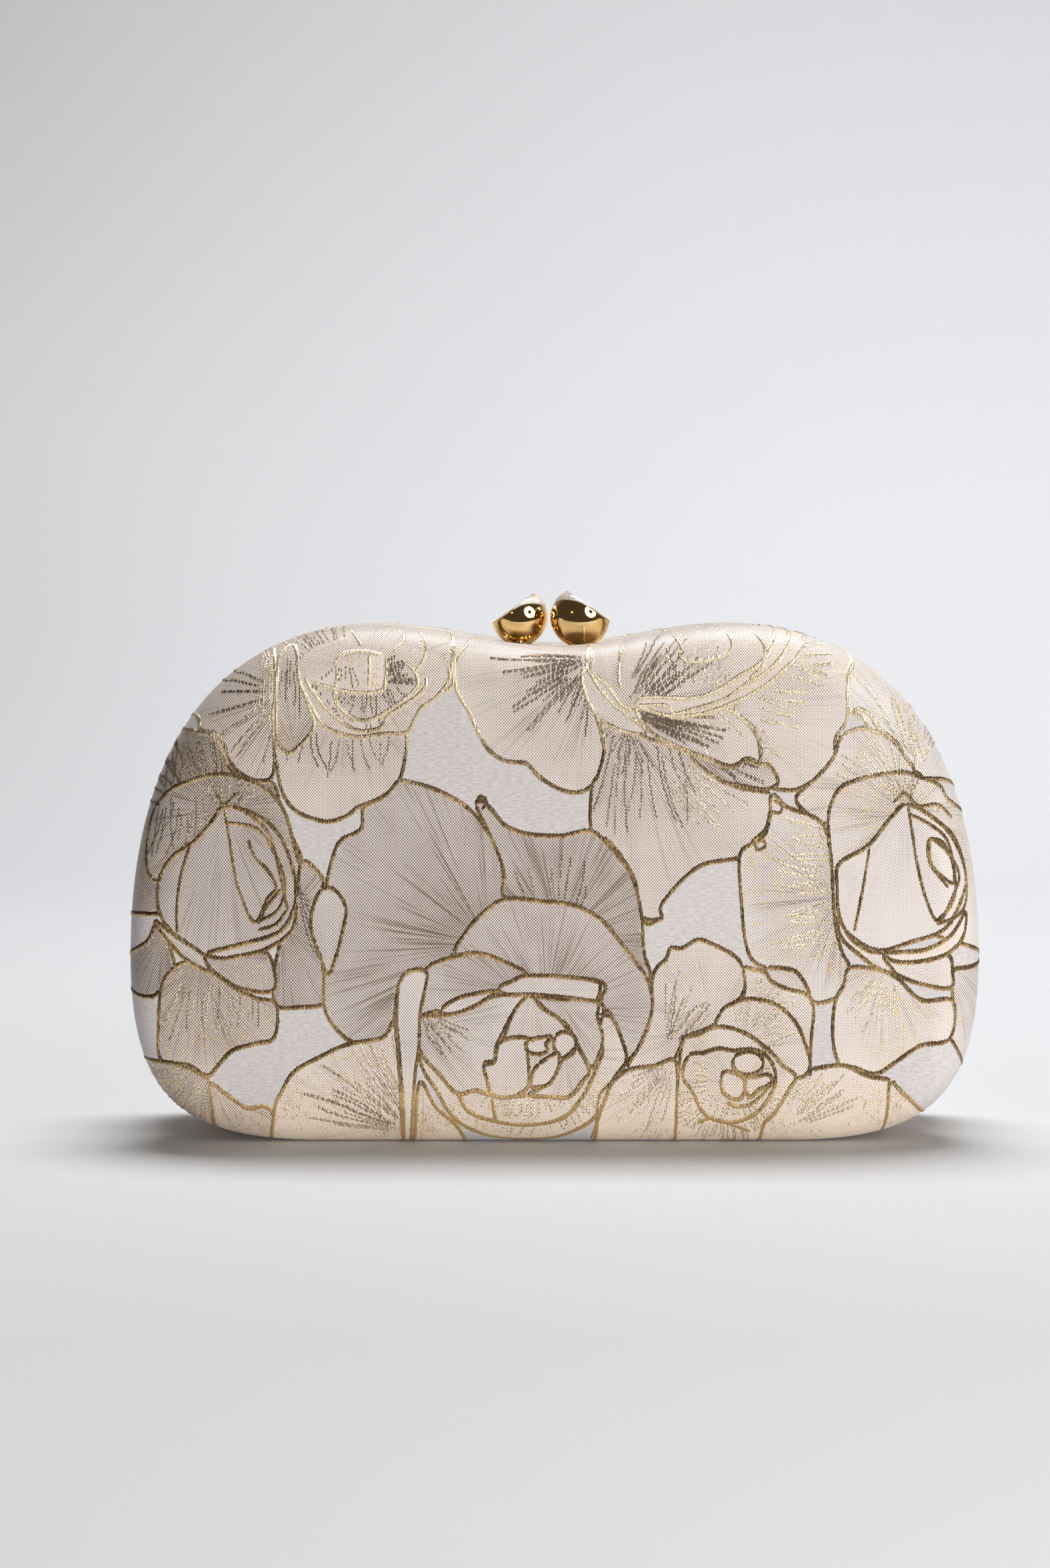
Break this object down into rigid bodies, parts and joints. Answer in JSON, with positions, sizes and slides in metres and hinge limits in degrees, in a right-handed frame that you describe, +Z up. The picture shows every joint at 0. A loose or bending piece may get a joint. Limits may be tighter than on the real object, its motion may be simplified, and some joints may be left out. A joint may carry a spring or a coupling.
{
  "type": "evening bag",
  "caption": "Hard-case evening clutch: padded floral jacquard halves in a gilt metal frame, hinged at the bottom, closed by a kiss lock with faceted golden balls.",
  "frame": {"origin": "middle of the bag's footprint, on the surface that it stands on", "axes": "+X along the bag's width to the right as seen from the front, +Y to the back through its thickness, +Z up to the kiss lock"},
  "size_m": [0.1952, 0.05, 0.1273],
  "materials": {
    "jacquard": "champagne rose jacquard with metallic gold outline threads",
    "wadding": "thin felted wadding",
    "shell_board": "moulded shell",
    "lining_satin": "smooth satin lining",
    "gilt_metal": "light gilt plating",
    "polished_gold": "mirror polished gold plating",
    "clear_film": "clear protective film"
  },
  "bodies": {
    "back_half": {"back_cover": "jacquard", "back_padding": "wadding", "back_shell": "shell_board", "back_lining": "lining_satin", "back_frame": "gilt_metal", "pocket_panel": "lining_satin", "pocket_binding": "lining_satin", "back_hinge_leaf_left": "gilt_metal", "back_hinge_leaf_right": "gilt_metal", "hinge_pin_left": "gilt_metal", "hinge_pin_right": "gilt_metal", "back_clasp_plate": "gilt_metal", "back_clasp_rivet_left": "gilt_metal", "back_clasp_rivet_right": "gilt_metal"},
    "front_half": {"front_cover": "jacquard", "front_padding": "wadding", "front_shell": "shell_board", "front_lining": "lining_satin", "front_frame": "gilt_metal", "front_hinge_leaf_left": "gilt_metal", "front_hinge_leaf_right": "gilt_metal", "front_clasp_plate": "gilt_metal", "front_clasp_rivet_left": "gilt_metal", "front_clasp_rivet_right": "gilt_metal"},
    "back_knob": {"back_knob": "polished_gold", "back_knob_post": "polished_gold", "back_knob_film": "clear_film"},
    "front_knob": {"front_knob": "polished_gold", "front_knob_post": "polished_gold", "front_knob_film": "clear_film"}
  },
  "joints": [
    {"name": "bag_hinge", "type": "hinge", "parent": "back_half", "child": "front_half", "pos_m": [0, 0, 0.0014], "axis": [1, 0, 0], "range_deg": [0, 75]},
    {"name": "back_knob_flex", "type": "hinge", "parent": "back_half", "child": "back_knob", "pos_m": [0.006, 0.0017, 0.1128], "axis": [0, 1, 0], "range_deg": [0, 6], "stiffness_Nm_per_rad": 0.6},
    {"name": "front_knob_flex", "type": "hinge", "parent": "front_half", "child": "front_knob", "pos_m": [-0.008, -0.0017, 0.113], "axis": [0, -1, 0], "range_deg": [0, 6], "stiffness_Nm_per_rad": 0.6}
  ]
}
